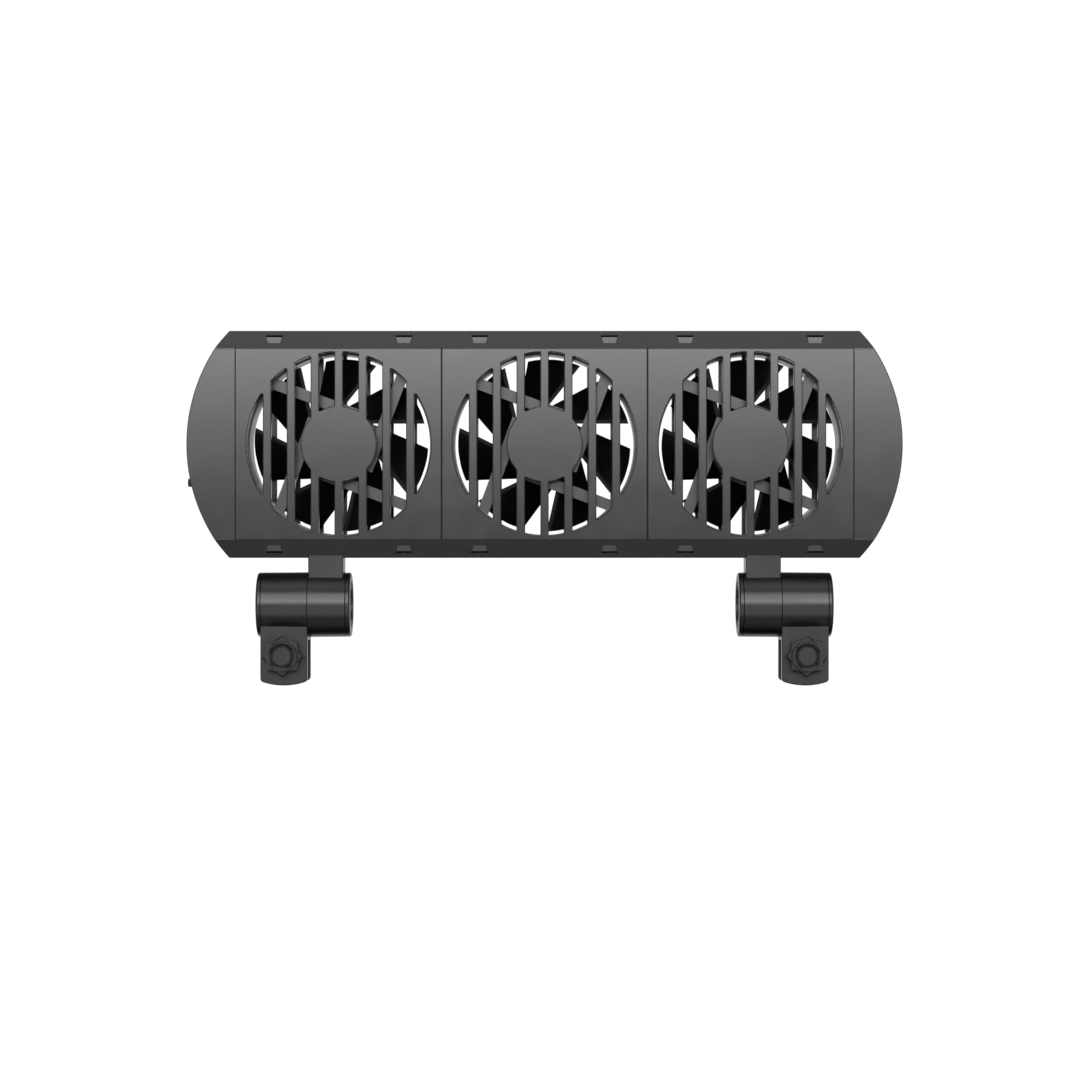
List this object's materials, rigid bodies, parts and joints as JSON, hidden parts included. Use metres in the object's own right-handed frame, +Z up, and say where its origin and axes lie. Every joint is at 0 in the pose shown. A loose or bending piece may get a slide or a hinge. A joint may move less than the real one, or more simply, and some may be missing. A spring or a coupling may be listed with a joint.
{
  "type": "clip-on aquarium cooling fan bar",
  "caption": "Slim rounded bar of axial fans behind slotted grilles, hung on a tank's rim by tilting screw clamps, for cooling aquarium water.",
  "frame": {"origin": "midway between the clamps, in the plane of the hinge axis, at the height of the seats that rest on the tank's rim", "axes": "+X along the bar, -Y the grilles' front and air outlet, +Z up"},
  "size_m": [0.2877, 0.0333, 0.1423],
  "materials": {
    "housing_plastic": "satin moulded",
    "fan_frame_plastic": "satin moulded",
    "hinge_plastic": "satin gloss",
    "cap_plastic": "satin gloss",
    "knob_plastic": "satin moulded",
    "pad_plastic": "matte",
    "rotor_plastic": "satin moulded",
    "rubber": "matte",
    "steel": "zinc plated",
    "laminated_steel": "laminated",
    "copper_wire": "enamelled copper",
    "circuit_board": "solder mask",
    "bearing_bronze": "sintered",
    "magnet": "bonded ferrite",
    "red_insulation": "smooth",
    "black_insulation": "smooth",
    "splice_sleeve": "shrink sleeve",
    "friction_fibre": "fibre"
  },
  "bodies": {
    "fan_bar": {"neck_bracket_left": "hinge_plastic", "neck_cap_left": "cap_plastic", "hinge_screw_left": "steel", "hinge_nut_left": "steel", "friction_washer_left": "friction_fibre", "neck_bracket_right": "hinge_plastic", "neck_cap_right": "cap_plastic", "hinge_screw_right": "steel", "hinge_nut_right": "steel", "friction_washer_right": "friction_fibre", "front_shell_1": "housing_plastic", "front_shell_2": "housing_plastic", "front_shell_3": "housing_plastic", "rear_grille_1": "housing_plastic", "rear_grille_2": "housing_plastic", "rear_grille_3": "housing_plastic", "fan_frame_1": "fan_frame_plastic", "fan_frame_2": "fan_frame_plastic", "fan_frame_3": "fan_frame_plastic", "stator_core_1": "laminated_steel", "stator_core_2": "laminated_steel", "stator_core_3": "laminated_steel", "stator_windings_1": "copper_wire", "stator_windings_2": "copper_wire", "stator_windings_3": "copper_wire", "motor_board_1": "circuit_board", "motor_board_2": "circuit_board", "motor_board_3": "circuit_board", "bearing_1": "bearing_bronze", "bearing_2": "bearing_bronze", "bearing_3": "bearing_bronze", "end_cap_left": "housing_plastic", "end_cap_right": "housing_plastic", "fan_screws": "steel", "joining_screws": "steel", "bracket_screws": "steel", "supply_wires": "red_insulation", "return_wires": "black_insulation", "wire_splices": "splice_sleeve", "cable_gland": "rubber"},
    "impeller_body_1": {"impeller_1": "rotor_plastic", "rotor_magnet_1": "magnet", "shaft_1": "steel"},
    "impeller_body_2": {"impeller_2": "rotor_plastic", "rotor_magnet_2": "magnet", "shaft_2": "steel"},
    "impeller_body_3": {"impeller_3": "rotor_plastic", "rotor_magnet_3": "magnet", "shaft_3": "steel"},
    "clamp_left": {"clamp_jaw_left": "hinge_plastic", "clamp_cap_left": "cap_plastic", "jaw_pad_left": "rubber"},
    "pressure_pad_body_left": {"pressure_pad_left": "pad_plastic"},
    "thumb_screw_body_left": {"thumb_screw_left": "knob_plastic"},
    "clamp_right": {"clamp_jaw_right": "hinge_plastic", "clamp_cap_right": "cap_plastic", "jaw_pad_right": "rubber"},
    "pressure_pad_body_right": {"pressure_pad_right": "pad_plastic"},
    "thumb_screw_body_right": {"thumb_screw_right": "knob_plastic"}
  },
  "joints": [
    {"name": "fan_spin_1", "type": "hinge", "parent": "fan_bar", "child": "impeller_body_1", "pos_m": [-0.0824, 0.0035, 0.0787], "axis": [0, -1, 0], "continuous": true},
    {"name": "fan_spin_2", "type": "hinge", "parent": "fan_bar", "child": "impeller_body_2", "pos_m": [0, 0.0035, 0.0787], "axis": [0, -1, 0], "continuous": true},
    {"name": "fan_spin_3", "type": "hinge", "parent": "fan_bar", "child": "impeller_body_3", "pos_m": [0.0824, 0.0035, 0.0787], "axis": [0, -1, 0], "continuous": true},
    {"name": "clamp_tilt_left", "type": "hinge", "parent": "fan_bar", "child": "clamp_left", "pos_m": [-0.0953, 0, 0.0142], "axis": [1, 0, 0], "range_deg": [-90, 90]},
    {"name": "pad_press_left", "type": "slide", "parent": "clamp_left", "child": "pressure_pad_body_left", "axis": [0, 1, 0], "range_m": [-0.0042, 0.0008]},
    {"name": "screw_turn_left", "type": "hinge", "parent": "pressure_pad_body_left", "child": "thumb_screw_body_left", "pos_m": [-0.1047, 0, -0.0061], "axis": [0, 1, 0], "range_deg": [-1008, 192]},
    {"name": "clamp_tilt_right", "type": "hinge", "parent": "fan_bar", "child": "clamp_right", "pos_m": [0.0953, 0, 0.0142], "axis": [1, 0, 0], "range_deg": [-90, 90]},
    {"name": "pad_press_right", "type": "slide", "parent": "clamp_right", "child": "pressure_pad_body_right", "axis": [0, 1, 0], "range_m": [-0.0042, 0.0008]},
    {"name": "screw_turn_right", "type": "hinge", "parent": "pressure_pad_body_right", "child": "thumb_screw_body_right", "pos_m": [0.1047, 0, -0.0061], "axis": [0, 1, 0], "range_deg": [-1008, 192]}
  ],
  "couplings": [
    {"joint": "screw_turn_left", "follows": "pad_press_left", "rad_per_m": 4188.8},
    {"joint": "screw_turn_right", "follows": "pad_press_right", "rad_per_m": 4188.8}
  ]
}
